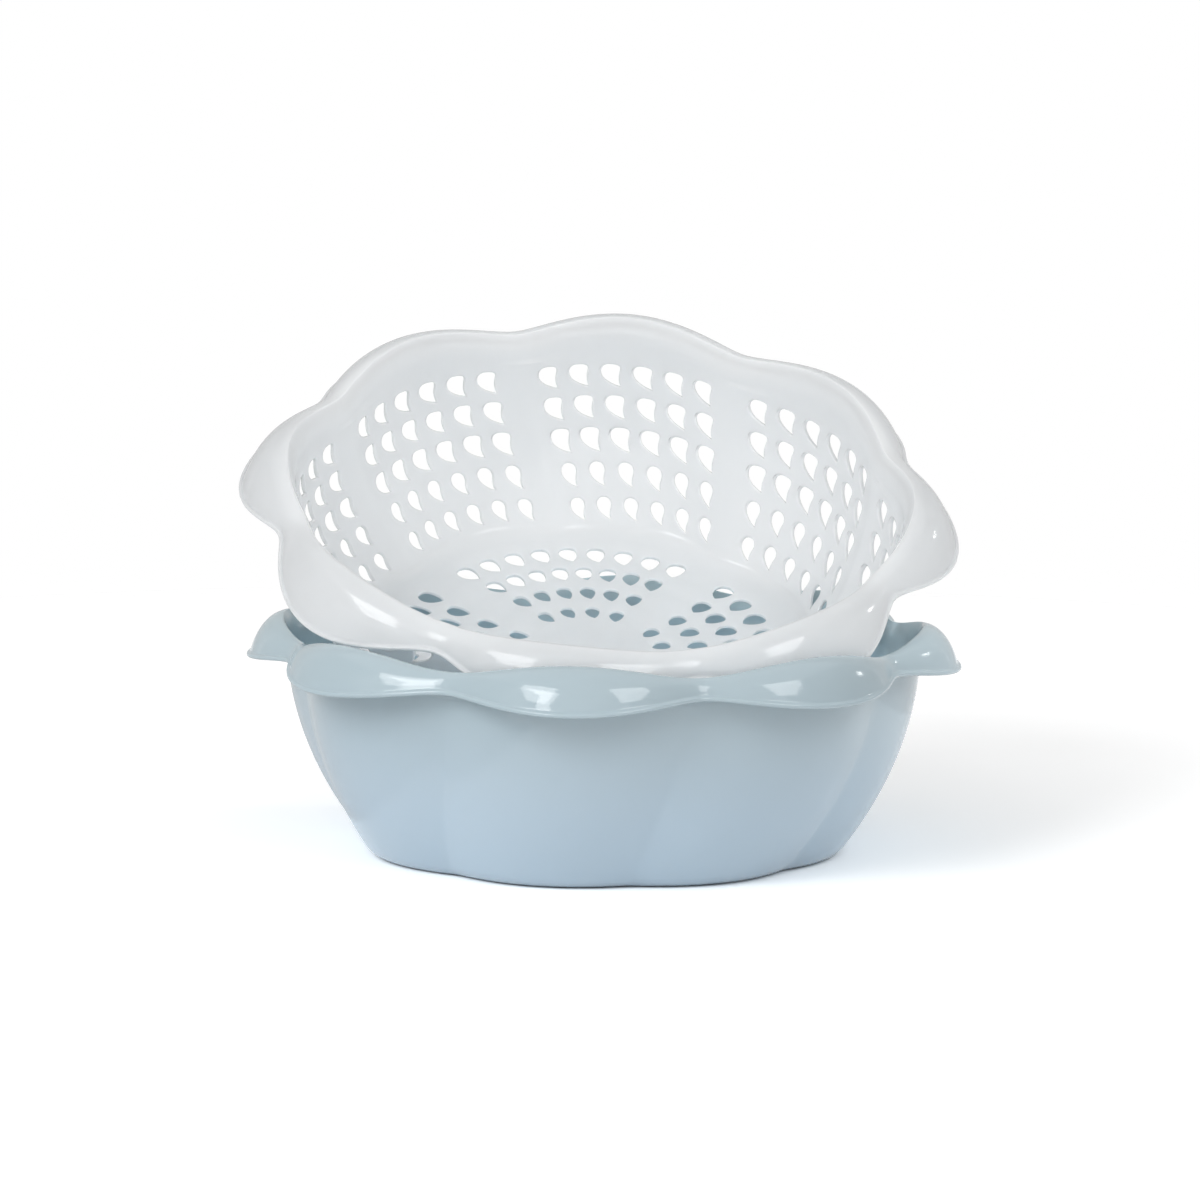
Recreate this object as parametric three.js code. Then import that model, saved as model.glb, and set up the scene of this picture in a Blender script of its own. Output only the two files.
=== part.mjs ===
import * as THREE from 'three';

// A drain basket: a petal-shaped basin and the perforated strainer that nests in it.
// Sizes are in millimetres and angles in degrees. Z points up and the basin stands on z = 0.

// Lobes, shared by both bowls
const lobeCount = 8;
const lobeStart = -94.8;        // direction of the first lobe of the basin's rim
const valleySoftness = 0.2;     // roundness of a valley between two lobes, seen from above
const dipSoftness = 0.5;        // roundness of the rim's dips, seen from the side
const valleyDepth = 4.6;        // a valley of the wall lies this far inside the lobes
const swirl = 11.4;             // turn of the lobes between the swirl height and the base
const swirlHeight = 110;        // height where the turn begins

// Basin
const basinHeight = 90.6;       // base to rim crest, on a lobe
const wallTopRadius = 126;      // outside of the wall under the rim, on a lobe
const baseRadius = 95.3;        // outside of the wall at the base, on a lobe
const wallRise = 88;            // height at which the wall stands upright
const wallCurve = 2.2;          // how quickly the wall turns upright
const basinWall = 1.8;
const basinFloor = 2.2;
const baseRounding = 4;         // height of the rounded edge of the base
const floorRounding = 8;        // height of the rounded corner inside the basin

// Rim
const crestRound = 3.8;         // radius from the wall over to the crest
const flangeArc = 65;           // slope of the flange at its lip
const flangeOverhang = 14.4;    // crest to lip, on a lobe
const valleyOverhang = 5.6;     // crest to lip, in a valley
const flangeDrop = 15.6;        // crest down to lip, on a lobe
const valleyDrop = 6.2;         // crest down to lip, in a valley
const basinDip = 5.5;           // fall of the basin's crest from a lobe to a valley
const strainerDip = 4.6;        // the same on the strainer

// Strainer
const strainerWall = 1.8;
const strainerFloor = 1.5;
const rimClearance = 0.5;       // nested, between the two rims
const wallClearance = 1.2;      // nested, between the two walls
const drainGap = 4;             // nested, under the strainer's floor
const strainerRounding = 7.7;   // height of the rounded corner between wall and floor
const cornerRun = 9;            // how far that corner reaches in over the floor

// Wall perforation: curled drops in columns that follow the swirl
const holeColumns = 6;          // per lobe, beside one solid column in the valley
const holeRows = 5;
const columnShift = 1.5;        // turn of the hole columns from the middle of the lobe
const topRowHeight = 68;
const lowRowRise = 5.5;         // from the rounded corner up to the low row's middle
const topHoleWidth = 8.1;
const lowHoleWidth = 5.8;
const topHoleLength = 9.8;
const lowHoleLength = 8.9;
const holeUpright = 0.6;        // 1 stands a hole up, 0 lets it follow the swirl

// Floor perforation: four fans of fuller drops, with their tips to the centre
const fanCount = 4;
const fanRows = [9, 8, 6, 4];   // holes in each row, from the outside in
const floorMargin = 9;          // from the floor's flat edge in a valley to the outer row
const innerRowRadius = 30.5;
const outerFanSpread = 71;      // angle between the end holes of the outer row
const innerFanSpread = 56;      // the same in the inner row
const floorHoleWidth = 6.9;
const floorHoleLength = 9.6;
const floorHoleTaper = 0.91;    // each row in is smaller by this factor

// Corners of the drops, as shares of half the width and half the length, from the tip round
const wallDrop = [
  [-0.95, -1],
  [0.35, -0.55],
  [1, 0.35],
  [0.3, 1],
  [-0.92, 0.85],
];
const floorDrop = [
  [-0.4, -1],
  [0.9, -0.35],
  [0.8, 0.75],
  [-0.45, 1],
  [-1, 0],
];

// The strainer as it leans in the basin
const leanAngle = 25.2;         // tip forward
const leanDirection = 6.5;      // direction of the axis it tips about
const setback = 20.2;           // how far its rim's centre lies behind the basin's axis
const sideShift = -2.3;
const seatGap = 0.6;            // plumb gap where it rests on the basin's rim

// Facets
const roundSteps = 2;
const flangeSteps = 3;
const wallSteps = 3;

const radians = THREE.MathUtils.degToRad;
const mix = THREE.MathUtils.lerp;
const lobePitch = 360 / lobeCount;
const columnPitch = lobePitch / (holeColumns + 1);
const rowPitch = (topRowHeight - strainerRounding - lowRowRise) / (holeRows - 1);

// A mesh collected point by point, with counter-clockwise faces seen from outside
class Skin {
  constructor() {
    this.points = [];
    this.faces = [];
  }

  point(spot) {
    this.points.push(spot.x, spot.y, spot.z);
    return this.points.length / 3 - 1;
  }

  quad(a, b, c, d) {
    this.faces.push(a, b, c, a, c, d);
  }

  ring(spots) {
    return spots.map((spot) => this.point(spot));
  }

  // Joins two rings, each of which closes on itself
  band(from, to) {
    from.forEach((start, i) => {
      const next = (i + 1) % from.length;
      this.quad(start, to[i], to[next], from[next]);
    });
  }

  geometry() {
    const geometry = new THREE.BufferGeometry();
    geometry.setAttribute('position', new THREE.Float32BufferAttribute(this.points, 3));
    geometry.setIndex(this.faces);
    geometry.computeVertexNormals();
    return geometry;
  }
}

// 1 in the middle of a lobe and 0 in the valleys
function petal(angle, softness) {
  const wave = Math.hypot(Math.cos(radians(angle * lobeCount / 2)), softness);
  return (wave - softness) / (Math.hypot(1, softness) - softness);
}

// Column directions from one valley to the next, with two narrow columns beside each valley
function columnAngles() {
  const angles = [];
  for (let lobe = 0; lobe < lobeCount; lobe += 1) {
    const centre = lobe * lobePitch;
    angles.push(centre - lobePitch / 2);
    for (let i = 0; i <= holeColumns; i += 1) {
      angles.push(centre + columnShift + (i - holeColumns / 2) * columnPitch);
    }
  }
  return angles;
}

const columns = columnAngles();

// The first and last column of a lobe make up the solid strip in the valley
function isPerforated(column) {
  const place = column % (holeColumns + 2);
  return place > 0 && place <= holeColumns;
}

// A station is one place along the bowl's section: its lobe point, valley point and turn.
// In a point, x is the radius and y the height.
function station(lobe, valley, turn) {
  return { lobe, valley, turn };
}

function spotAt(place, angle) {
  const radius = mix(place.valley.x, place.lobe.x, petal(angle, valleySoftness));
  const height = mix(place.valley.y, place.lobe.y, petal(angle, dipSoftness));
  const direction = radians(lobeStart + angle + place.turn);
  return new THREE.Vector3(radius * Math.cos(direction), radius * Math.sin(direction), height);
}

function ringAt(place) {
  return columns.map((angle) => spotAt(place, angle));
}

function turnAt(height) {
  return -swirl * (1 - height / swirlHeight) ** 2;
}

// Tilt of the wall, in radians from upright
function wallTilt(height) {
  const rest = Math.max(1 - height / wallRise, 0);
  return Math.atan((wallTopRadius - baseRadius) * wallCurve / wallRise * rest ** (wallCurve - 1));
}

// The wall: every skin of both bowls is the basin's outside, moved in by an inset
function wallPoint(height, inset) {
  const tilt = wallTilt(height);
  const rest = Math.max(1 - height / wallRise, 0);
  const radius = wallTopRadius - (wallTopRadius - baseRadius) * rest ** wallCurve;
  return new THREE.Vector2(radius - inset * Math.cos(tilt), height + inset * Math.sin(tilt));
}

function inValley(point) {
  return new THREE.Vector2(point.x - valleyDepth, point.y);
}

function wallStation(height, inset) {
  const point = wallPoint(height, inset);
  return station(point, inValley(point), turnAt(height));
}

// Rounded corner from the wall down to a flat floor, as stations from the floor up
function cornerStations(height, inset, floorHeight, flatRadius) {
  const wall = wallPoint(height, inset);
  const run = Math.tan(wallTilt(height)) * (wall.y - floorHeight);
  const corner = new THREE.Vector2(wall.x - run, floorHeight);
  const flat = new THREE.Vector2(flatRadius ?? corner.x - corner.distanceTo(wall), floorHeight);
  const curve = new THREE.QuadraticBezierCurve(flat, corner, wall);
  return curve.getPoints(roundSteps).map((point) => station(point, inValley(point), turnAt(height)));
}

// One side of the rim's section, from the wall over the crest to the lip
function rimSection(rim, inLobe) {
  const wallRadius = rim.wallRadius - (inLobe ? 0 : valleyDepth);
  const crest = new THREE.Vector2(wallRadius + rim.round, rim.height - (inLobe ? 0 : rim.dip));
  const overhang = (inLobe ? flangeOverhang : valleyOverhang) + rim.stack;
  const drop = inLobe ? flangeDrop + rim.stack : valleyDrop;
  const top = [];
  for (let i = 0; i < roundSteps; i += 1) {
    const angle = Math.PI / 2 * i / roundSteps;
    const normal = new THREE.Vector2(-Math.cos(angle), Math.sin(angle));
    const point = new THREE.Vector2(0, -rim.round).addScaledVector(normal, rim.round).add(crest);
    top.push({ point, normal });
  }
  const end = radians(flangeArc);
  for (let i = 0; i <= flangeSteps; i += 1) {
    const angle = end * i / flangeSteps;
    const along = overhang / Math.sin(end);
    const down = drop / (1 - Math.cos(end));
    const point = new THREE.Vector2(along * Math.sin(angle), -down * (1 - Math.cos(angle))).add(crest);
    const normal = new THREE.Vector2(down * Math.sin(angle), along * Math.cos(angle)).normalize();
    top.push({ point, normal });
  }
  const under = top.map(({ point, normal }) => point.clone().addScaledVector(normal, -rim.wall));
  return [...top.map(({ point }) => point), ...under.reverse()];
}

function rimStations(rim) {
  const lobes = rimSection(rim, true);
  const valleys = rimSection(rim, false);
  return lobes.map((lobe, i) => station(lobe, valleys[i], turnAt(rim.height)));
}

// A drop with its round end up and its tip down and to one side
function drop(corners, width, length) {
  return corners.map(([x, y]) => new THREE.Vector2(x * width / 2, y * length / 2));
}

// Triangles of a flat sheet with holes, all counter-clockwise
function sheetFaces(edge, holes) {
  const points = [...edge, ...holes.flat()];
  return THREE.ShapeUtils.triangulateShape([...edge], holes.map((hole) => [...hole])).map((face) => {
    const turned = THREE.ShapeUtils.area(face.map((i) => points[i])) < 0;
    return turned ? face.reverse() : face;
  });
}

// A sheet between two skins: the outer face, the inner face turned over, and the holes' edges
function addSheet(skin, outer, inner, edge, holes) {
  for (const face of sheetFaces(edge, holes)) {
    skin.faces.push(...face.map((i) => outer[i]));
    skin.faces.push(...face.map((i) => inner[i]).reverse());
  }
  let first = edge.length;
  for (const hole of holes) {
    hole.forEach((_, i) => {
      const here = first + i;
      const next = first + (i + 1) % hole.length;
      skin.quad(inner[here], outer[here], outer[next], inner[next]);
    });
    first += hole.length;
  }
}

function bandAll(skin, rings) {
  rings.slice(1).forEach((ring, i) => skin.band(rings[i], ring));
}

// Basin
const basinRim = {
  height: basinHeight,
  dip: basinDip,
  wallRadius: wallTopRadius - basinWall,
  round: crestRound,
  stack: 0,
  wall: basinWall,
};

function wallHeights(from, to) {
  return Array.from({ length: wallSteps }, (_, i) => mix(from, to, (i + 1) / (wallSteps + 1)));
}

function basinGeometry() {
  const skin = new Skin();
  const under = basinHeight - basinDip - crestRound;
  const inside = [
    ...cornerStations(floorRounding, basinWall, basinFloor),
    ...wallHeights(floorRounding, under).map((height) => wallStation(height, basinWall)),
  ];
  const outside = [
    ...cornerStations(baseRounding, 0, 0),
    ...wallHeights(baseRounding, under).map((height) => wallStation(height, 0)),
  ];
  const path = [...inside, ...rimStations(basinRim), ...outside.reverse()];
  const rings = path.map((place) => skin.ring(ringAt(place)));
  bandAll(skin, rings);
  const floor = skin.point(new THREE.Vector3(0, 0, basinFloor));
  const base = skin.point(new THREE.Vector3(0, 0, 0));
  rings[0].forEach((here, i, ring) => skin.faces.push(floor, here, ring[(i + 1) % ring.length]));
  rings.at(-1).forEach((here, i, ring) => skin.faces.push(base, ring[(i + 1) % ring.length], here));
  return skin.geometry();
}

// Strainer, built nested in the basin
const outerInset = basinWall + wallClearance;
const innerInset = outerInset + strainerWall;
const rimStack = strainerWall + rimClearance;
const strainerRim = {
  height: basinHeight + rimStack,
  dip: strainerDip,
  wallRadius: wallTopRadius - innerInset,
  round: crestRound + wallClearance + strainerWall,
  stack: rimStack,
  wall: strainerWall,
};

const floorEdge = wallPoint(strainerRounding, innerInset).x - cornerRun;
const outerRowRadius = floorEdge - valleyDepth - floorMargin;

// A wall hole as angles from its column's middle and heights along the wall
function wallHole(row) {
  const share = row / (holeRows - 1);
  const middle = topRowHeight - row * rowPitch;
  const radius = wallPoint(middle, innerInset).x;
  const width = mix(topHoleWidth, lowHoleWidth, share ** 2);
  const length = mix(topHoleLength, lowHoleLength, share);
  return drop(wallDrop, width, length).map((point) => {
    const height = middle + point.y * Math.cos(wallTilt(middle));
    const lag = holeUpright * (turnAt(middle) - turnAt(height));
    return { angle: THREE.MathUtils.radToDeg(point.x / radius) + lag, height };
  });
}

function addPerforatedWall(skin, outerRings, innerRings, heights) {
  for (let row = 0; row < holeRows; row += 1) {
    const hole = wallHole(row);
    columns.forEach((angle, i) => {
      const next = (i + 1) % columns.length;
      const corners = [[row + 1, i], [row + 1, next], [row, next], [row, i]];
      const outer = corners.map(([ring, column]) => outerRings[ring][column]);
      const inner = corners.map(([ring, column]) => innerRings[ring][column]);
      const width = next === 0 ? columns[0] + 360 - angle : columns[next] - angle;
      const edge = [
        new THREE.Vector2(angle, heights[row + 1]),
        new THREE.Vector2(angle + width, heights[row + 1]),
        new THREE.Vector2(angle + width, heights[row]),
        new THREE.Vector2(angle, heights[row]),
      ];
      const holes = [];
      if (isPerforated(i)) {
        const spots = hole.map((spot) => new THREE.Vector2(angle + width / 2 + spot.angle, spot.height));
        outer.push(...skin.ring(spots.map((spot) => spotAt(wallStation(spot.y, outerInset), spot.x))));
        inner.push(...skin.ring(spots.map((spot) => spotAt(wallStation(spot.y, innerInset), spot.x))));
        holes.push(spots);
      }
      addSheet(skin, outer, inner, edge, holes);
    });
  }
}

function floorHoles() {
  const holes = [];
  const centre = new THREE.Vector2();
  const middle = lobeStart + turnAt(strainerRounding) + lobePitch / 2;
  for (let fan = 0; fan < fanCount; fan += 1) {
    fanRows.forEach((count, row) => {
      const share = row / (fanRows.length - 1);
      const radius = mix(outerRowRadius, innerRowRadius, share);
      const spread = mix(outerFanSpread, innerFanSpread, share);
      const size = floorHoleTaper ** row;
      const shape = drop(floorDrop, floorHoleWidth * size, floorHoleLength * size).reverse();
      for (let i = 0; i < count; i += 1) {
        const angle = radians(middle + fan * 360 / fanCount + (i / (count - 1) - 0.5) * spread);
        holes.push(shape.map((point) => {
          return new THREE.Vector2(radius + point.y, point.x).rotateAround(centre, angle);
        }));
      }
    });
  }
  return holes;
}

function addPerforatedFloor(skin, topRing, underRing, floorTop) {
  const edge = topRing.map((i) => new THREE.Vector2(skin.points[3 * i], skin.points[3 * i + 1]));
  const holes = floorHoles();
  const spots = holes.flat();
  const top = spots.map((spot) => new THREE.Vector3(spot.x, spot.y, floorTop));
  const under = spots.map((spot) => new THREE.Vector3(spot.x, spot.y, floorTop - strainerFloor));
  addSheet(skin, [...topRing, ...skin.ring(top)], [...underRing, ...skin.ring(under)], edge, holes);
}

function strainerGeometry() {
  const skin = new Skin();
  const floorTop = basinFloor + drainGap + strainerFloor;
  const insideCorner = cornerStations(strainerRounding, innerInset, floorTop, floorEdge);
  const underCorner = cornerStations(strainerRounding, outerInset, floorTop - strainerFloor, floorEdge);
  const heights = Array.from({ length: holeRows }, (_, row) => topRowHeight + (0.5 - row) * rowPitch);
  heights.push(strainerRounding);
  const innerRings = heights.map((height) => skin.ring(ringAt(wallStation(height, innerInset))));
  const outerRings = heights.map((height) => skin.ring(ringAt(wallStation(height, outerInset))));
  addPerforatedWall(skin, outerRings, innerRings, heights);
  const rimRings = rimStations(strainerRim).map((place) => skin.ring(ringAt(place)));
  bandAll(skin, [innerRings[0], ...rimRings, outerRings[0]]);
  const insideRings = insideCorner.slice(0, -1).map((place) => skin.ring(ringAt(place)));
  const underRings = underCorner.slice(0, -1).map((place) => skin.ring(ringAt(place)));
  bandAll(skin, [...insideRings, innerRings.at(-1)]);
  bandAll(skin, [outerRings.at(-1), ...underRings.reverse()]);
  addPerforatedFloor(skin, insideRings[0], underRings.at(-1), floorTop);
  return skin.geometry();
}

const basin = new THREE.Mesh(
  basinGeometry(),
  new THREE.MeshStandardMaterial({ color: 0xb6c6d2, roughness: 0.35, metalness: 0 }),
);
basin.name = 'basin';

const strainer = new THREE.Mesh(
  strainerGeometry(),
  new THREE.MeshStandardMaterial({ color: 0xdde1e5, roughness: 0.35, metalness: 0 }),
);
strainer.name = 'strainer';

// Plumb lines from the rim of one bowl to the other, with the least free length
function plumbGap(mesh, target, direction, isRim) {
  const position = mesh.geometry.attributes.position;
  const index = mesh.geometry.index.array;
  const caster = new THREE.Raycaster();
  const corners = [new THREE.Vector3(), new THREE.Vector3(), new THREE.Vector3()];
  const normal = new THREE.Vector3();
  let least = Infinity;
  for (let i = 0; i < index.length; i += 3) {
    corners.forEach((corner, k) => corner.fromBufferAttribute(position, index[i + k]));
    if (!corners.every((corner) => isRim(corner.z))) continue;
    corners.forEach((corner) => corner.applyMatrix4(mesh.matrixWorld));
    THREE.Triangle.getNormal(...corners, normal);
    if (normal.dot(direction) <= 0) continue;
    for (const [start, end] of [[0, 1], [1, 2], [2, 0]]) {
      for (const share of [0, 0.5]) {
        caster.set(corners[start].clone().lerp(corners[end], share), direction);
        const hit = caster.intersectObject(target)[0];
        if (hit) least = Math.min(least, hit.distance);
      }
    }
  }
  return least;
}

// Tips the strainer, holds it above the basin and lowers it until it rests on the rim
const lipHeight = basinHeight - flangeDrop;
const leaning = new THREE.Group();
const leanAxis = new THREE.Vector3(Math.cos(radians(leanDirection)), Math.sin(radians(leanDirection)), 0);
strainer.position.z = -lipHeight;
leaning.add(strainer);
leaning.quaternion.setFromAxisAngle(leanAxis, radians(leanAngle));
leaning.position.set(sideShift, setback, basinHeight + strainerRim.height + wallTopRadius);
leaning.updateMatrixWorld(true);

const upward = new THREE.Vector3(0, 0, 1);
const onRim = (height) => height > lipHeight - basinWall - strainerWall;
const freeFall = Math.min(
  plumbGap(basin, strainer, upward, onRim),
  plumbGap(strainer, basin, upward.clone().negate(), onRim),
);
leaning.position.z -= freeFall - seatGap;

const drainBasket = new THREE.Group();
drainBasket.add(basin, leaning);

export default drainBasket;
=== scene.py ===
import math

import bmesh
import bpy
import numpy as np
from mathutils import Matrix, Vector


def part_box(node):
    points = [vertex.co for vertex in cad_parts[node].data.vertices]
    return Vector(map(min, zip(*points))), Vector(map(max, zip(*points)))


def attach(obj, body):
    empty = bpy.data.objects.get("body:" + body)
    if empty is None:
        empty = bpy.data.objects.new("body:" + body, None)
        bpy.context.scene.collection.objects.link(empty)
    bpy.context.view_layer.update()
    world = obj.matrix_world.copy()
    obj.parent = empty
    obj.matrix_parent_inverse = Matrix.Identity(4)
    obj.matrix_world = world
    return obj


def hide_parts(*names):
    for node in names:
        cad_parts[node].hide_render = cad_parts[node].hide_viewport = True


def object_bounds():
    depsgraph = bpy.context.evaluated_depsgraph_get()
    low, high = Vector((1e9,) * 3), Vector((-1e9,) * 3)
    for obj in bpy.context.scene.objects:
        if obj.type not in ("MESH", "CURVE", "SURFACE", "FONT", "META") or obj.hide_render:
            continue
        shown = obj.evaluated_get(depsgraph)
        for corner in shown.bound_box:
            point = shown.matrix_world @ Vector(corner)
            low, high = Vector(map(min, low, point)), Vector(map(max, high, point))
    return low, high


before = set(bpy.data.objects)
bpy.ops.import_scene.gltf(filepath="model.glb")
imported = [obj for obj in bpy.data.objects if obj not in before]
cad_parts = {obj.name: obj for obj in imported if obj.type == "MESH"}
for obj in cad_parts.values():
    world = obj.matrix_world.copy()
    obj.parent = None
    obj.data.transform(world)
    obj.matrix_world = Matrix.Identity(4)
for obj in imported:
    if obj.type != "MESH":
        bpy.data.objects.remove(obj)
cadLow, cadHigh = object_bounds()
print("frame loaded")

mm = 0.001

# the petal form that both bowls share, in millimetres and degrees
lobes = {
    "count": 8,
    "start": -94.8,                 # direction of the first lobe of the basin's rim
    "valleySoftness": (0.07, 0.2),  # roundness of a valley seen from above: low on the wall, at the rim
    "softHeights": (50.0, 74.0),    # the softness changes between these heights
    "dipSoftness": 0.5,             # roundness of the rim's dips seen from the side
    "valleyDepth": 4.6,
    "swirl": 11.4,                  # turn of the lobes down to the base
    "swirlHeight": 110.0,
    "columns": 6,                   # of wall holes in a lobe, beside a plain strip in the valley
    "columnShift": 1.5,             # turn of the columns from the middle of the lobe
    "columnSteps": 8,               # mesh steps across one column
}
lobePitch = 360 / lobes["count"]
columnPitch = lobePitch / (lobes["columns"] + 1)
stepAngle = columnPitch / lobes["columnSteps"]
roundAngles = np.arange(round(360 / stepAngle)) * stepAngle + lobes["columnShift"]


def petal(angle, softness):
    # 1 in the middle of a lobe, 0 in the valleys
    wave = np.hypot(np.cos(np.radians(angle * lobes["count"] / 2)), softness)
    return (wave - softness) / (np.hypot(1, softness) - softness)


def turnAt(height):
    return -lobes["swirl"] * (1 - height / lobes["swirlHeight"]) ** 2


def spots(lobePoint, valleyPoint, turn, angle):
    # places on the swirled, lobed form: section points are (radius, height)
    low, high = lobes["softHeights"]
    lowSoft, highSoft = lobes["valleySoftness"]
    share = np.clip((lobePoint[1] - low) / (high - low), 0, 1)
    softness = lowSoft + (highSoft - lowSoft) * share * share * (3 - 2 * share)
    radius = valleyPoint[0] + (lobePoint[0] - valleyPoint[0]) * petal(angle, softness)
    height = valleyPoint[1] + (lobePoint[1] - valleyPoint[1]) * petal(angle, lobes["dipSoftness"])
    way = np.radians(lobes["start"] + angle + turn)
    return np.stack([radius * np.cos(way), radius * np.sin(way), height + 0 * way], axis=-1)


def section(rows):
    # rings all round from a list of (lobe point, valley point, turn)
    return np.array([spots(lobe, valley, turn, roundAngles) for lobe, valley, turn in rows])


def curvePoint(start, bend, end, t):
    return (1 - t) ** 2 * start + 2 * t * (1 - t) * bend + t ** 2 * end


# the wall of both bowls: the basin's outside, from which the other faces are set in
wall = {
    "topRadius": 126.0,
    "baseRadius": 95.3,
    "rise": 88.0,                   # height where the wall stands upright
    "curve": 2.2,
    "cornerSteps": 10,              # mesh steps round the corner to the floor
}


def wallRest(height):
    return np.maximum(1 - np.asarray(height, float) / wall["rise"], 0)


def wallTilt(height):
    steepest = (wall["topRadius"] - wall["baseRadius"]) * wall["curve"] / wall["rise"]
    return np.arctan(steepest * wallRest(height) ** (wall["curve"] - 1))


def wallPoint(height, inset):
    # (radius, height) on the basin's outside, moved in square to the wall by inset
    widening = wall["topRadius"] - wall["baseRadius"]
    radius = wall["topRadius"] - widening * wallRest(height) ** wall["curve"]
    tilt = wallTilt(height)
    return radius - inset * np.cos(tilt), height + inset * np.sin(tilt)


def inValley(point):
    return point[0] - lobes["valleyDepth"], point[1]


def wallSpots(angle, height, inset):
    point = wallPoint(height, inset)
    return spots(point, inValley(point), turnAt(height), angle)


def wallRows(heights, inset):
    rows = []
    for height in heights:
        point = wallPoint(height, inset)
        rows.append((point, inValley(point), turnAt(height)))
    return rows


def cornerRows(height, inset, floorHeight, flatRadius=None):
    # rounded corner from the flat floor up to the wall
    wallEnd = np.array(wallPoint(height, inset))
    corner = np.array([wallEnd[0] - math.tan(wallTilt(height)) * (wallEnd[1] - floorHeight), floorHeight])
    if flatRadius is None:
        flatRadius = corner[0] - np.linalg.norm(corner - wallEnd)
    flat = np.array([flatRadius, floorHeight])
    rows = []
    for t in np.linspace(0, 1, wall["cornerSteps"] + 1):
        point = curvePoint(flat, corner, wallEnd, t)
        rows.append((point, inValley(point), turnAt(height)))
    return rows


# the petal rim of both bowls
rim = {
    "overhang": 15.3,               # crest to lip on a lobe
    "valleyOverhang": 6.8,
    "fall": 15.6,                   # crest down to the lip on a lobe
    "valleyFall": 6.2,
    "arc": 65.0,                    # the flange is this much of a quarter ellipse, in degrees
    "flareRise": 11.5,              # the wall flares out over this height below its crest
    "flareCurve": 2.0,
    "fold": 0.94,                   # share of the flare below the fold into the flange
    "lipTurn": 60.0,                # the lip turns out by this much
    "lipRadius": 1.3,
    "lipPasses": 4,                 # rounds of fitting the flange to the lip
    "lipSteps": 5,
    "flareSteps": 8,
    "foldSteps": 4,
    "flangeSteps": 16,
    "beadSteps": 8,
}


def rimFlare(foot, crest, crestRun, thickness):
    # the wall's inside up to the fold, and its outside up to the flange
    rise, curve, fold = rim["flareRise"], rim["flareCurve"], rim["fold"]
    flare = [foot + [crestRun * s ** curve, rise * s] for s in np.linspace(0, fold, rim["flareSteps"])]
    start = flare[-1]
    bend = np.array([start[0] + crestRun * curve * fold ** (curve - 1) * (1 - fold), crest[1]])
    for t in np.linspace(0, 1, rim["foldSteps"], endpoint=False)[1:]:
        flare.append(curvePoint(start, bend, crest, t))
    hollow = []
    for turn in np.linspace(0, math.pi / 2, len(flare), endpoint=False):
        hollow.append(foot + [thickness + (crestRun - thickness) * (1 - math.cos(turn)),
                              (rise - thickness) * math.sin(turn)])
    return flare, hollow


def rimFlange(crest, overhang, fall, thickness):
    # points and normals from the crest down and round the turned-out lip
    end = math.radians(rim["arc"])
    lipAngles = np.linspace(0, math.radians(rim["lipTurn"]), rim["lipSteps"] + 1)
    lipOut = lipDown = 0
    for attempt in range(rim["lipPasses"]):  # the lip's own size is taken off the flange
        along = (overhang - lipOut) / math.sin(end)
        down = (fall - lipDown) / (1 - math.cos(end))
        slope = math.atan2(down * math.sin(end), along * math.cos(end))
        lip = rim["lipRadius"] * np.stack([np.sin(slope) - np.sin(slope - lipAngles),
                                           np.cos(slope) - np.cos(slope - lipAngles)], axis=-1)
        lipOut, lipDown = lip[-1, 0] + thickness / 2, -lip[-1, 1]
    flange = []
    for angle in np.linspace(0, end, rim["flangeSteps"] + 1):
        normal = np.array([down * math.sin(angle), along * math.cos(angle)])
        point = crest + [along * math.sin(angle), -down * (1 - math.cos(angle))]
        flange.append((point, normal / np.linalg.norm(normal)))
    edge = flange[-1][0]
    for turn, step in zip(lipAngles[1:], lip[1:]):
        flange.append((edge + step, np.array([math.sin(slope - turn), math.cos(slope - turn)])))
    return flange


def rimProfile(wallRadius, crestRun, crestHeight, overhang, fall, thickness):
    # from the inside of the wall over the crest, round the lip and back under to the outside
    foot = np.array([wallRadius, crestHeight - rim["flareRise"]])
    crest = np.array([wallRadius + crestRun, crestHeight])
    flare, hollow = rimFlare(foot, crest, crestRun, thickness)
    flange = rimFlange(crest, overhang, fall, thickness)
    upper = flare + [point for point, normal in flange]
    lower = hollow + [point - normal * thickness for point, normal in flange]
    centre = (upper[-1] + lower[-1]) / 2
    normal = flange[-1][1]
    outward = np.array([normal[1], -normal[0]])
    bead = []
    for turn in np.linspace(0, math.pi, rim["beadSteps"] + 1)[1:-1]:
        bead.append(centre + thickness / 2 * (normal * math.cos(turn) + outward * math.sin(turn)))
    return upper + bead + lower[::-1]


def rimRows(wallRadius, crestRun, crestHeight, dip, reach, stack, thickness):
    onLobe = rimProfile(wallRadius, crestRun, crestHeight,
                        rim["overhang"] + reach, rim["fall"] + stack, thickness)
    inDip = rimProfile(wallRadius - lobes["valleyDepth"], crestRun, crestHeight - dip,
                       rim["valleyOverhang"] + reach, rim["valleyFall"], thickness)
    return [(lobe, valley, turnAt(crestHeight)) for lobe, valley in zip(onLobe, inDip)]


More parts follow.
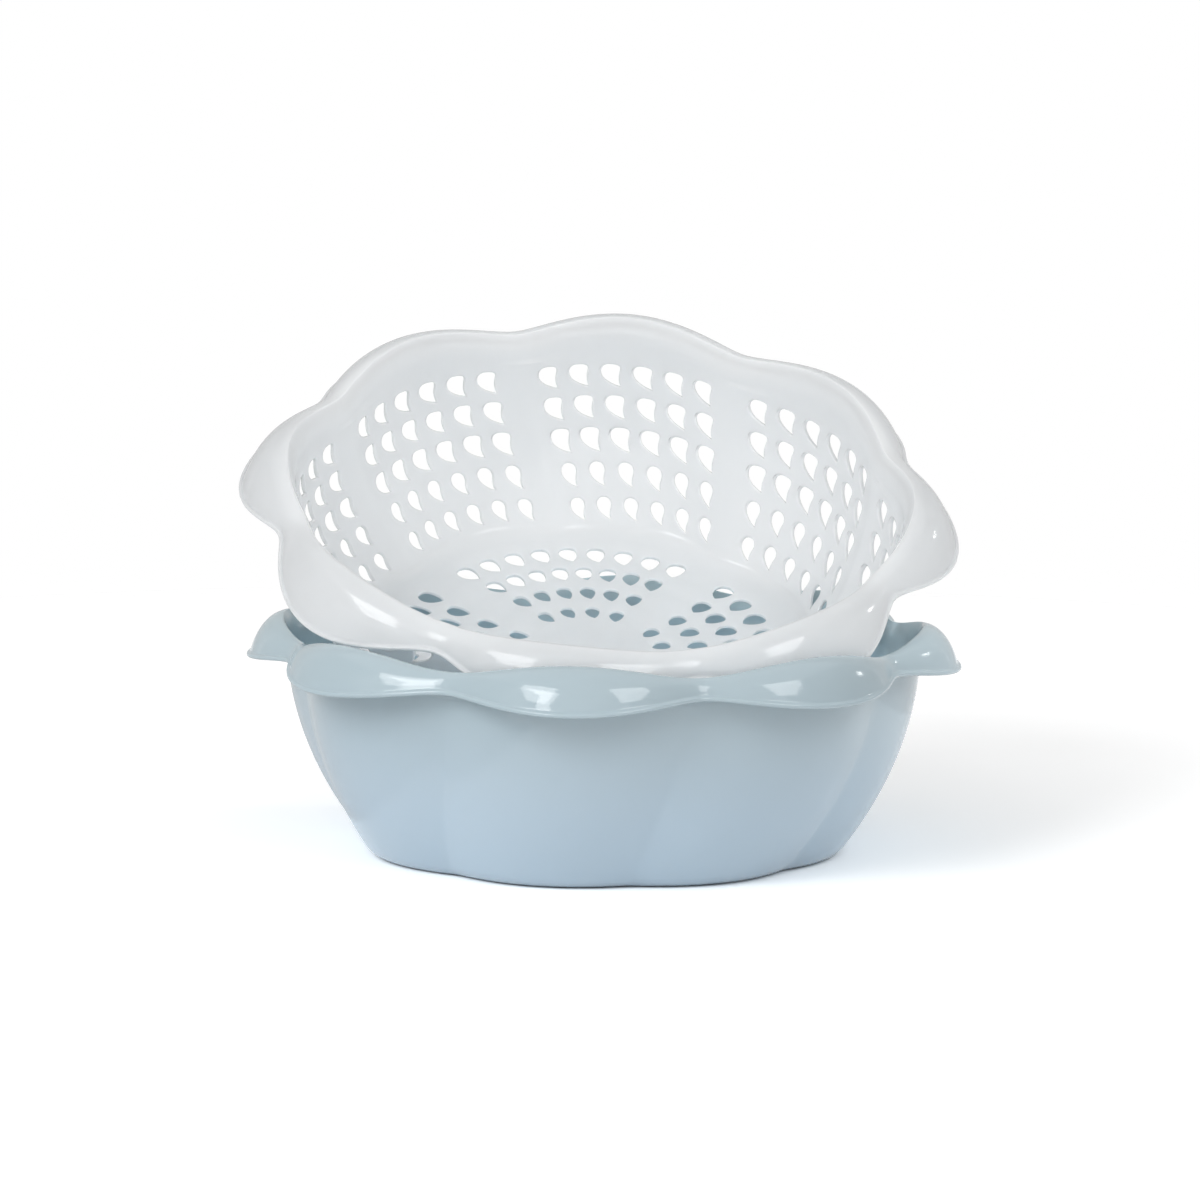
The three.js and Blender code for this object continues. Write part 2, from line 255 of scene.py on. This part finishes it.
class Patches:
    # collects grids of points as quads and joins them into one closed mesh
    weldDistance = 0.002 * mm

    def __init__(self):
        self.mesh = bmesh.new()

    def grid(self, points, closed=True):
        rows, columns = points.shape[:2]
        made = [[self.mesh.verts.new(p * mm) for p in row] for row in points]
        last = columns if closed else columns - 1
        for i in range(rows - 1):
            for j in range(last):
                k = (j + 1) % columns
                self.mesh.faces.new((made[i][j], made[i + 1][j], made[i + 1][k], made[i][k]))
        return made

    def sheet(self, loops):
        # flat filling between an outer loop and the holes inside it
        edges = []
        for loop in loops:
            for a, b in zip(loop, loop[1:] + loop[:1]):
                edges.append(self.mesh.edges.get((a, b)) or self.mesh.edges.new((a, b)))
        bmesh.ops.triangle_fill(self.mesh, use_beauty=True, edges=edges)

    def finish(self, name):
        bmesh.ops.remove_doubles(self.mesh, verts=self.mesh.verts, dist=self.weldDistance)
        bmesh.ops.recalc_face_normals(self.mesh, faces=self.mesh.faces)
        data = bpy.data.meshes.new(name)
        self.mesh.to_mesh(data)
        self.mesh.free()
        data.shade_smooth()
        piece = bpy.data.objects.new(name, data)
        bpy.context.scene.collection.objects.link(piece)
        return piece


def addNode(tree, kind, inputs, **settings):
    # each input is a constant or the socket that feeds it
    node = tree.nodes.new("ShaderNode" + kind)
    for key, value in settings.items():
        setattr(node, key, value)
    for key, value in inputs.items():
        if isinstance(value, bpy.types.NodeSocket):
            tree.links.new(value, node.inputs[key])
        else:
            node.inputs[key].default_value = value
    return node


def spread(tree, value, ends):
    # carries 0 to 1 over to the two ends
    node = addNode(tree, "MapRange", {"Value": value, "To Min": ends[0], "To Max": ends[1]})
    return node.outputs["Result"]


def noise(tree, position, scale, detail):
    return addNode(tree, "TexNoise", {"Vector": position, "Scale": scale, "Detail": detail}).outputs["Fac"]


def axisDistance(tree, position, axis):
    upright = addNode(tree, "Mapping", {"Vector": position, "Location": axis.to_translation(),
                                        "Rotation": axis.to_euler()}, vector_type="TEXTURE")
    flat = addNode(tree, "VectorMath", {0: upright.outputs["Vector"], 1: (1, 1, 0)}, operation="MULTIPLY")
    return addNode(tree, "VectorMath", {0: flat.outputs["Vector"]}, operation="LENGTH").outputs["Value"]


# what both plastics share, in metres
moulding = {
    "refraction": 1.49,
    "cloudScale": 14,
    "cloudDetail": 3,
    "grainScale": 900,
    "grainDetail": 2,
    "drawScale": 320,
    "drawDetail": 3,
    "drawStretch": (1, 1, 0.03),    # draw marks run long in the direction of the height
    "bumpHeight": 0.0005,
}


def plastic(name, look, axis=None):
    # painted light and shade: the wall is painted lighter than the flange; colour, gloss and roughness
    # change from wall to flange with the height, or with the distance from a leaned bowl's axis
    material = bpy.data.materials.new(name)
    material.use_nodes = True
    tree = material.node_tree
    shader = tree.nodes["Principled BSDF"]
    shader.inputs["IOR"].default_value = moulding["refraction"]
    shader.inputs["Subsurface Weight"].default_value = look["glow"]
    shader.inputs["Subsurface Radius"].default_value = (1, 1, 1)
    shader.inputs["Subsurface Scale"].default_value = look["glowDepth"]
    position = addNode(tree, "TexCoord", {}).outputs["Object"]
    if axis is None:
        reach = addNode(tree, "SeparateXYZ", {"Vector": position}).outputs["Z"]
    else:
        reach = axisDistance(tree, position, axis)
    change = addNode(tree, "MapRange", {"Value": reach, "From Min": look["change"][0],
                                        "From Max": look["change"][1]}, interpolation_type="SMOOTHSTEP")
    share = change.outputs["Result"]
    cloud = noise(tree, position, moulding["cloudScale"], moulding["cloudDetail"])

    # painted light: the wall's colour is painted lighter and the flange's darker, mixed by the same change
    body = addNode(tree, "Mix", {"Factor": share, "A": (*look["wallColourAndPaintedLight"], 1),
                                 "B": (*look["flangeColourAndPaintedShade"], 1)}, data_type="RGBA")
    patchy = spread(tree, cloud, (1 - look["patches"], 1 + look["patches"]))
    tint = addNode(tree, "VectorMath", {0: body.outputs["Result"], "Scale": patchy}, operation="SCALE")
    tree.links.new(tint.outputs["Vector"], shader.inputs["Base Color"])
    tree.links.new(spread(tree, share, look["gloss"]), shader.inputs["Specular IOR Level"])
    haze = spread(tree, cloud, look["roughness"])
    matt = spread(tree, share, (look["wallMatt"], 0))
    finish = addNode(tree, "Math", {0: haze, 1: matt}, operation="ADD")
    tree.links.new(finish.outputs["Value"], shader.inputs["Roughness"])

    # fine skin of the mould, and long faint draw marks down the wall
    grain = noise(tree, position, moulding["grainScale"], moulding["grainDetail"])
    stretched = addNode(tree, "Mapping", {"Vector": position, "Scale": moulding["drawStretch"]})
    draw = noise(tree, stretched.outputs["Vector"], moulding["drawScale"], moulding["drawDetail"])
    skin = addNode(tree, "Bump", {"Strength": look["grain"], "Distance": moulding["bumpHeight"],
                                  "Height": grain})
    marks = addNode(tree, "Bump", {"Strength": look["drawMarks"], "Distance": moulding["bumpHeight"],
                                   "Height": draw, "Normal": skin.outputs["Normal"]})
    tree.links.new(marks.outputs["Normal"], shader.inputs["Normal"])
    return material


# the outer bowl, in millimetres, its look in metres
basin = {
    "height": 90.6,
    "dip": 5.5,                     # the crest falls this much into a valley
    "wall": 1.8,
    "floor": 2.2,
    "crestRun": 2.5,                # the crest lies this far outside the wall's upright part
    "baseRounding": 4.0,
    "floorRounding": 8.0,
    "wallSteps": 44,
    "look": {
        # painted light: the wall is painted lighter and bluer low down than up by the flange, as lit from
        # the floor below
        "wallColourAndPaintedLight": (0.545, 0.667, 0.768),
        "flangeColourAndPaintedShade": (0.445, 0.55, 0.6),
        "change": (0.02, 0.085),    # heights between which the wall's look, with its painted light, becomes the flange's
        "patches": 0.02,
        "gloss": (0.3, 0.9),        # wall, flange
        "roughness": (0.05, 0.09),
        "wallMatt": 0.15,           # the wall is duller than the flange by this much
        "glow": 0.2,
        "glowDepth": 0.003,
        "grain": 0.03,
        "drawMarks": 0.01,
    },
}


def makeBasin():
    under = basin["height"] - basin["dip"] - rim["flareRise"]
    innerHeights = np.linspace(basin["floorRounding"], under, basin["wallSteps"])[1:-1]
    outerHeights = np.linspace(basin["baseRounding"], under, basin["wallSteps"])[1:-1]
    rows = cornerRows(basin["floorRounding"], basin["wall"], basin["floor"])
    rows += wallRows(innerHeights, basin["wall"])
    rows += rimRows(wall["topRadius"] - basin["wall"], basin["crestRun"], basin["height"],
                    basin["dip"], reach=0, stack=0, thickness=basin["wall"])
    rows += wallRows(outerHeights[::-1], inset=0)
    rows += cornerRows(basin["baseRounding"], inset=0, floorHeight=0)[::-1]
    patches = Patches()
    rings = patches.grid(section(rows))
    patches.sheet([rings[0]])
    patches.sheet([rings[-1]])
    return patches.finish("basin_shell")


basinShell = makeBasin()
basinShell.data.materials.append(plastic("basinPlastic", basin["look"]))
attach(basinShell, "basin_body")
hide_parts("basin")
print("basin made:", len(basinShell.data.polygons), "faces")


# hole outlines in halves of a hole's width and length, from the tip:
# outer side, round end, corner, inner side
wallDrop = [
    ((-0.95, -1.0), (-0.25, -0.9), (1.0, -0.45), (1.0, 0.3)),
    ((1.0, 0.3), (1.0, 0.75), (0.65, 1.0), (0.15, 1.0)),
    ((0.15, 1.0), (-0.35, 1.0), (-0.95, 1.0), (-0.92, 0.6)),
    ((-0.92, 0.6), (-0.9, 0.25), (-0.58, -0.2), (-0.95, -1.0)),
]
lowDrop = [
    ((-0.85, -1.0), (-0.15, -0.85), (1.0, -0.3), (1.0, 0.3)),
    ((1.0, 0.3), (1.0, 0.75), (0.6, 1.0), (0.1, 1.0)),
    ((0.1, 1.0), (-0.45, 1.0), (-0.95, 0.75), (-0.9, 0.25)),
    ((-0.9, 0.25), (-0.85, -0.1), (-0.55, -0.45), (-0.85, -1.0)),
]
floorDrop = [
    ((-0.4, -1.0), (0.35, -0.85), (1.0, -0.35), (1.0, 0.2)),
    ((1.0, 0.2), (1.0, 0.7), (0.55, 1.0), (0.0, 1.0)),
    ((0.0, 1.0), (-0.6, 1.0), (-1.0, 0.8), (-1.0, 0.25)),
    ((-1.0, 0.25), (-1.0, -0.3), (-0.75, -0.75), (-0.4, -1.0)),
]

# the perforated bowl, which nests in the basin: in millimetres and degrees, its look in metres
strainer = {
    "dip": 4.6,
    "wall": 1.8,
    "floor": 1.5,
    "rimClearance": 0.5,
    "wallClearance": 1.2,
    "crestRun": 3.4,
    "crestLift": 0.75,              # the fold on a lobe stands this much over the stacked height
    "reach": 2.1,                   # the flange is longer than the basin's by this and the stacking
    "drainGap": 4.0,
    "rounding": 7.7,
    "cornerRun": 9.0,               # the corner's reach over the floor
    "rimSteps": (0, 0.6, 1.2),      # rings of plain wall over the holes
    "edgeRings": 4,                 # mesh rings round the rounded edge of a hole
    "wallHoles": {                  # lists run from the top row down
        "drops": (wallDrop, wallDrop, wallDrop, lowDrop, lowDrop),
        "width": (8.3, 8.3, 8.3, 6.7, 6.2),
        "length": (10.3, 10.3, 10.4, 10.3, 9.5),
        "sink": (0.5, 1.0, 1.0, 1.0, 0.0),    # each row sits this much lower than even steps put it
        "topHeight": 68.0,
        "lowRise": 5.5,             # from the rounded corner up to the low row
        "upright": 0.6,             # 1 stands a hole up, 0 lets it follow the swirl
        "edge": 0.75,               # rounding of the hole's edges
        "cellShares": (0, 0.35, 0.7),         # mesh rings between a cell's border and its hole
    },
    "floorHoles": {
        "fans": 4,
        "rows": (9, 8, 6, 4),
        "margin": 9.0,              # from the floor's flat edge in a valley to the outer row
        "innerRadius": 30.5,
        "spread": (71.0, 56.0),     # outer row, inner row
        "width": 7.5,
        "length": 10.4,
        "taper": 0.91,
        "edge": 0.5,
    },
    "lean": {"angle": 25.2, "direction": 6.5, "setback": 20.2, "sideShift": -2.3},
    "look": {
        # painted light and shade: the inside is painted lighter and the flange darker, evening out how the
        # lamps fall on them
        "wallColourAndPaintedLight": (0.79, 0.81, 0.825),
        "flangeColourAndPaintedShade": (0.7, 0.718, 0.732),
        "change": (0.121, 0.13),    # radii between which the inside's look, with its painted light, becomes the flange's, with its painted shade
        "patches": 0.012,
        "gloss": (0.75, 0.9),       # inside, flange
        "roughness": (0.03, 0.07),
        "wallMatt": 0.0,
        "glow": 0.8,
        "glowDepth": 0.004,
        "grain": 0.03,
        "drawMarks": 0.06,
    },
}
wallHoles, floorHoles = strainer["wallHoles"], strainer["floorHoles"]
outerInset = basin["wall"] + strainer["wallClearance"]
innerInset = outerInset + strainer["wall"]
stack = strainer["wall"] + strainer["rimClearance"]
floorTop = basin["floor"] + strainer["drainGap"] + strainer["floor"]
floorUnder = floorTop - strainer["floor"]
floorEdge = wallPoint(strainer["rounding"], innerInset)[0] - strainer["cornerRun"]


def dropOutline(curves, width, length):
    # round end up, tip down and to one side; starts at the tip, with a column's steps on each curve
    t = np.linspace(0, 1, lobes["columnSteps"], endpoint=False)[:, None]
    parts = []
    for a, b, c, d in np.array(curves):
        parts.append((1 - t) ** 3 * a + 3 * t * (1 - t) ** 2 * b + 3 * t ** 2 * (1 - t) * c + t ** 3 * d)
    return np.concatenate(parts) * [width / 2, length / 2]


def holeProfile(edge, outer, inner):
    # (outline growth, level) through a hole: rounded edge, wall, rounded edge
    turns = np.linspace(0, math.pi / 2, strainer["edgeRings"])
    bend = [(1 - math.sin(t), 1 - math.cos(t)) for t in turns]
    way = [(edge * grow, inner - edge * sink) for grow, sink in bend]
    way += [(edge * grow, outer + edge * sink) for grow, sink in bend[::-1]]
    return way


def holeRows():
    # middles of the rows of wall holes, and the borders of their cells, from the top down
    top, bottom = wallHoles["topHeight"], strainer["rounding"]
    pitch = (top - bottom - wallHoles["lowRise"]) / (len(wallHoles["drops"]) - 1)
    middles = [top - row * pitch - sink for row, sink in enumerate(wallHoles["sink"])]
    borders = [top + pitch / 2]
    borders += [(above + below) / 2 for above, below in zip(middles, middles[1:])]
    borders.append(bottom)
    return middles, borders


def holeOutlines(row, middle):
    # (angles, heights, inset) of a hole's rings, from the inside of the wall to its outside
    radius = wallPoint(middle, innerInset)[0]
    outlines = []
    for grow, inset in holeProfile(wallHoles["edge"], outerInset, innerInset):
        shape = dropOutline(wallHoles["drops"][row], wallHoles["width"][row] + 2 * grow,
                            wallHoles["length"][row] + 2 * grow)
        heights = middle + shape[:, 1] * math.cos(wallTilt(middle))
        lag = wallHoles["upright"] * (turnAt(middle) - turnAt(heights))
        angles = columnPitch / 2 + np.degrees(shape[:, 0] / radius) + lag
        outlines.append((angles, heights, inset))
    return outlines


def cellRing(left, border, outline, near):
    # a ring between a cell's border, near 0, and the edge of its hole, near 1
    edgeA, edgeH = border
    holeA, holeH, inset = outline
    return wallSpots(left + edgeA + near * (holeA - edgeA), edgeH + near * (holeH - edgeH), inset)


def addWall(patches, middles, borders):
    # a cell for each hole, and a plain strip in each valley
    steps, columns, shares = lobes["columnSteps"], lobes["columns"], wallHoles["cellShares"]
    ramp = np.linspace(0, 1, steps, endpoint=False)
    squareA = np.concatenate([ramp, np.ones(steps), 1 - ramp, np.zeros(steps)])
    squareH = np.concatenate([np.zeros(steps), ramp, np.ones(steps), 1 - ramp])
    for row, middle in enumerate(middles):
        high, low = borders[row], borders[row + 1]
        border = (squareA * columnPitch, low + squareH * (high - low))
        outlines = holeOutlines(row, middle)
        for lobe in range(lobes["count"]):
            for column in range(columns):
                left = lobe * lobePitch + lobes["columnShift"] + (column - columns / 2) * columnPitch
                rings = [cellRing(left, border, outlines[0], near) for near in shares]
                rings += [wallSpots(left + holeA, holeH, inset) for holeA, holeH, inset in outlines]
                rings += [cellRing(left, border, outlines[-1], near) for near in shares[::-1]]
                patches.grid(np.array(rings))
            valley = lobe * lobePitch + lobes["columnShift"] + columns / 2 * columnPitch
            strip = valley + np.linspace(0, columnPitch, steps + 1)
            levels = np.linspace(low, high, steps + 1)
            for inset in (innerInset, outerInset):
                patches.grid(wallSpots(strip[None, :], levels[:, None], inset), closed=False)


def addFloorHole(patches, radius, way, size):
    rings = []
    for grow, level in holeProfile(floorHoles["edge"], floorUnder, floorTop):
        shape = dropOutline(floorDrop, floorHoles["width"] * size + 2 * grow,
                            floorHoles["length"] * size + 2 * grow)
        x, y = radius + shape[:, 1], shape[:, 0]
        rings.append(np.stack([x * math.cos(way) - y * math.sin(way),
                               x * math.sin(way) + y * math.cos(way),
                               level + 0 * x], axis=-1))
    return patches.grid(np.array(rings))


def addFloor(patches, topEdge, underEdge):
    # fans of holes, each row from side to side, then the sheets between them
    topLoops, underLoops = [topEdge], [underEdge]
    middle = lobes["start"] + turnAt(strainer["rounding"]) + lobePitch / 2
    outerRadius = floorEdge - lobes["valleyDepth"] - floorHoles["margin"]
    outerSpread, innerSpread = floorHoles["spread"]
    for fan in range(floorHoles["fans"]):
        for row, count in enumerate(floorHoles["rows"]):
            share = row / (len(floorHoles["rows"]) - 1)
            radius = outerRadius + share * (floorHoles["innerRadius"] - outerRadius)
            fanWidth = outerSpread + share * (innerSpread - outerSpread)
            size = floorHoles["taper"] ** row
            for i in range(count):
                turn = middle + fan * 360 / floorHoles["fans"] + (i / (count - 1) - 0.5) * fanWidth
                made = addFloorHole(patches, radius, math.radians(turn), size)
                topLoops.append(made[0])
                underLoops.append(made[-1])
    patches.sheet(topLoops)
    patches.sheet(underLoops)


def makeStrainer():
    patches = Patches()
    middles, borders = holeRows()

    # rim, from the perforated wall's inner top edge to its outer top edge
    lift = strainer["crestLift"]
    plainHeights = borders[0] + np.array(strainer["rimSteps"])
    rows = wallRows(plainHeights, innerInset)
    rows += rimRows(wall["topRadius"] - innerInset, strainer["crestRun"], basin["height"] + stack + lift,
                    strainer["dip"] + lift, stack + strainer["reach"], stack + lift, strainer["wall"])
    rows += wallRows(plainHeights[::-1], outerInset)
    patches.grid(section(rows))

    # rounded corners down to the floor, inside and under
    inside = cornerRows(strainer["rounding"], innerInset, floorTop, floorEdge)
    beneath = cornerRows(strainer["rounding"], outerInset, floorUnder, floorEdge)
    topEdge = patches.grid(section(inside))[0]
    underEdge = patches.grid(section(beneath))[0]

    addWall(patches, middles, borders)
    addFloor(patches, topEdge, underEdge)
    return patches.finish("strainer_shell")


def leanMatrix():
    # tips the strainer forward about its lip's height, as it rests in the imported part
    lean = strainer["lean"]
    lipHeight = basin["height"] - rim["fall"]
    way = math.radians(lean["direction"])
    tip = Matrix.Rotation(math.radians(lean["angle"]), 4, Vector((math.cos(way), math.sin(way), 0)))
    return (Matrix.Translation((lean["sideShift"] * mm, lean["setback"] * mm, 0))
            @ tip @ Matrix.Translation((0, 0, -lipHeight * mm)))


def placeStrainer(piece):
    # leaned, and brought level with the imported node's lowest point
    piece.data.transform(leanMatrix())
    lowest = min(v.co.z for v in piece.data.vertices)
    lift = Matrix.Translation((0, 0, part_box("strainer")[0].z - lowest))
    piece.data.transform(lift)
    return lift @ leanMatrix()


strainerShell = makeStrainer()
bowlAxis = placeStrainer(strainerShell)
strainerShell.data.materials.append(plastic("strainerPlastic", strainer["look"], bowlAxis))
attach(strainerShell, "strainer_body")
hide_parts("strainer")
print("strainer made:", len(strainerShell.data.polygons), "faces")


# camera, worked out from the photograph: metres and degrees
view = {
    "elevation": 8.01,
    "distance": 1.9988,
    "target": (-0.00128, 0, 0.09772),
    "pixelsPerMetre": 2530,         # at the target
    "imageWidth": 1200,
    "sensorWidth": 36,
    "roll": 0.56,
}


def makeCamera():
    rise = math.radians(view["elevation"])
    data = bpy.data.cameras.new("photoCamera")
    data.sensor_width = view["sensorWidth"]
    data.lens = view["pixelsPerMetre"] * view["distance"] / view["imageWidth"] * data.sensor_width
    camera = bpy.data.objects.new("photoCamera", data)
    bpy.context.scene.collection.objects.link(camera)
    back = Vector((0, -math.cos(rise), math.sin(rise)))
    spin = Matrix.Rotation(math.radians(view["roll"]), 4, "Z")
    camera.matrix_world = (Matrix.Translation(Vector(view["target"]) + back * view["distance"])
                           @ back.to_track_quat("Z", "Y").to_matrix().to_4x4() @ spin)
    bpy.context.scene.camera = camera


# floor, backdrop, lamps and boards, in metres, watts and degrees
studio = {
    "floorSize": 4.0,
    "floorGap": 0.0002,             # the floor lies this much under the part
    "floorRoughness": 0.9,
    "floorColour": (0.9, 0.9, 0.9, 1),
    "floorSeen": (1.45, 1.45, 1.45, 1),       # white where the background is seen, less the shadow
    "floorFade": (0.35, 0.9),       # the floor runs out into the white backdrop
    "worldLight": 0.5,
    "worldSeen": 1,
    "lampAim": (0, 0, 0.1),
    "lamps": [                      # name, place, size, power, the pieces it lights, seen in a gloss
        ("leftBox", (-0.9, -1.0, 1.15), (0.75, 0.75), 4.5, "all", True),
        ("rightBox", (0.9, -1.0, 1.15), (0.68, 0.75), 3.7, "all", True),
        ("keyBox", (-1.8, -1.7, 1.6), (2.0, 1.4), 25, "basin", True),
        ("fillBox", (-0.2, -2.2, 0.35), (1.0, 0.6), 13.5, "strainer", False),
        ("sideBox", (-2.2, -0.6, 1.1), (0.8, 0.6), 7, "strainer", False),
        ("spotLamp", (1.4, 0.75, 0.8), (0.12, 0.12), 2.0, "all", True),
    ],
    # spots for the basin alone, the first in place of light through the white plastic
    "spots": [                      # name, place, aim, cone, power, colour
        ("bowlLight", (0, 0.02, 1.5), (0, 0.02, 0), 11.0, 48, (1, 0.98, 0.88)),
        ("lobeLight", (1.2, 0.1, 1.0), (0.137, -0.01, 0.08), 4.5, 20, (1, 1, 1)),
    ],
    "spotRadius": 0.03,
    "spotBlend": 0.5,
    # grey boards that only a gloss sees
    "cards": [                      # name, middle, tilt, turn, width, height
        ("leftCard", (-1.1, -0.2, 0.7), 90, -90, 2.6, 1.4),
        ("rightCard", (1.1, -0.2, 0.7), 90, 90, 2.6, 1.4),
        ("backCard", (0, 1.3, 0.9), 90, 0, 2.4, 1.8),
        ("lowCard", (-0.42, 0.25, 0.002), 0, 0, 0.62, 1.0),
    ],
    "cardGrey": 0.6,
}


def rayIsSeen(tree):
    # 1 for what the camera sees directly, in a gloss or through glass
    path = addNode(tree, "LightPath", {}).outputs
    first = addNode(tree, "Math", {0: path["Is Camera Ray"], 1: path["Is Glossy Ray"]}, operation="MAXIMUM")
    both = addNode(tree, "Math", {0: first.outputs[0], 1: path["Is Transmission Ray"]}, operation="MAXIMUM")
    return both.outputs[0]


def makeFloor():
    bpy.ops.mesh.primitive_plane_add(size=studio["floorSize"])
    floor = bpy.context.object
    floor.name = "studioFloor"
    floor.location.z = cadLow.z - studio["floorGap"]
    material = bpy.data.materials.new("paleFloor")
    material.use_nodes = True
    tree = material.node_tree
    shader = tree.nodes["Principled BSDF"]
    shader.inputs["Roughness"].default_value = studio["floorRoughness"]
    shader.inputs["Specular IOR Level"].default_value = 0
    paper = addNode(tree, "Mix", {"Factor": rayIsSeen(tree), "A": studio["floorColour"],
                                  "B": studio["floorSeen"]}, data_type="RGBA", clamp_factor=True)
    tree.links.new(paper.outputs["Result"], shader.inputs["Base Color"])
    place = addNode(tree, "TexCoord", {})
    reach = addNode(tree, "VectorMath", {0: place.outputs["Object"]}, operation="LENGTH")
    near, far = studio["floorFade"]
    fade = addNode(tree, "MapRange", {"Value": reach.outputs["Value"], "From Min": near, "From Max": far,
                                      "To Min": 1, "To Max": 0}, interpolation_type="SMOOTHSTEP")
    tree.links.new(fade.outputs["Result"], shader.inputs["Alpha"])
    floor.data.materials.append(material)
    return floor


def makeWorld():
    world = bpy.data.worlds.new("studioWorld")
    bpy.context.scene.world = world
    world.use_nodes = True
    tree = world.node_tree
    sky = tree.nodes["Background"]
    sky.inputs["Color"].default_value = (1, 1, 1, 1)
    brightness = spread(tree, rayIsSeen(tree), (studio["worldLight"], studio["worldSeen"]))
    tree.links.new(brightness, sky.inputs["Strength"])


def addLamp(data, place, aim, inGloss):
    lamp = bpy.data.objects.new(data.name, data)
    bpy.context.scene.collection.objects.link(lamp)
    lamp.location = place
    lamp.rotation_euler = (Vector(place) - Vector(aim)).to_track_quat("Z", "Y").to_euler()
    lamp.visible_glossy = inGloss
    return lamp


def makeLamps(floor):
    litPieces = {"basin": (basinShell, floor), "strainer": (strainerShell,)}
    for name, place, size, power, lights, inGloss in studio["lamps"]:
        data = bpy.data.lights.new(name, "AREA")
        data.shape = "RECTANGLE"
        data.size, data.size_y = size
        data.energy = power
        lamp = addLamp(data, place, studio["lampAim"], inGloss)
        if lights in litPieces:
            lit = bpy.data.collections.new(name + "Lit")
            for piece in litPieces[lights]:
                lit.objects.link(piece)
            lamp.light_linking.receiver_collection = lit


def makeSpots():
    onlyBasin = bpy.data.collections.new("onlyBasin")
    onlyBasin.objects.link(basinShell)
    for name, place, aim, cone, power, colour in studio["spots"]:
        data = bpy.data.lights.new(name, "SPOT")
        data.shadow_soft_size, data.spot_blend = studio["spotRadius"], studio["spotBlend"]
        data.spot_size = math.radians(cone)
        data.energy, data.color = power, colour
        lamp = addLamp(data, place, aim, False)
        lamp.light_linking.receiver_collection = onlyBasin
        lamp.light_linking.blocker_collection = onlyBasin


def makeCards():
    material = bpy.data.materials.new("greyBoard")
    material.use_nodes = True
    board = material.node_tree.nodes["Principled BSDF"]
    grey = studio["cardGrey"]
    board.inputs["Base Color"].default_value = (0, 0, 0, 1)
    board.inputs["Emission Color"].default_value = (grey, grey, grey, 1)
    board.inputs["Emission Strength"].default_value = 1
    for name, middle, tilt, turn, width, height in studio["cards"]:
        bpy.ops.mesh.primitive_plane_add(size=1, location=middle,
                                         rotation=(math.radians(tilt), 0, math.radians(turn)))
        card = bpy.context.object
        card.name = name
        card.scale = (width, height, 1)
        card.data.materials.append(material)
        card.visible_camera = False
        card.visible_diffuse = False
        card.visible_shadow = False
        card.visible_transmission = False


makeCamera()
makeWorld()
makeLamps(makeFloor())
makeSpots()
makeCards()
bpy.context.scene.view_settings.view_transform = "Standard"
print("camera and studio made")
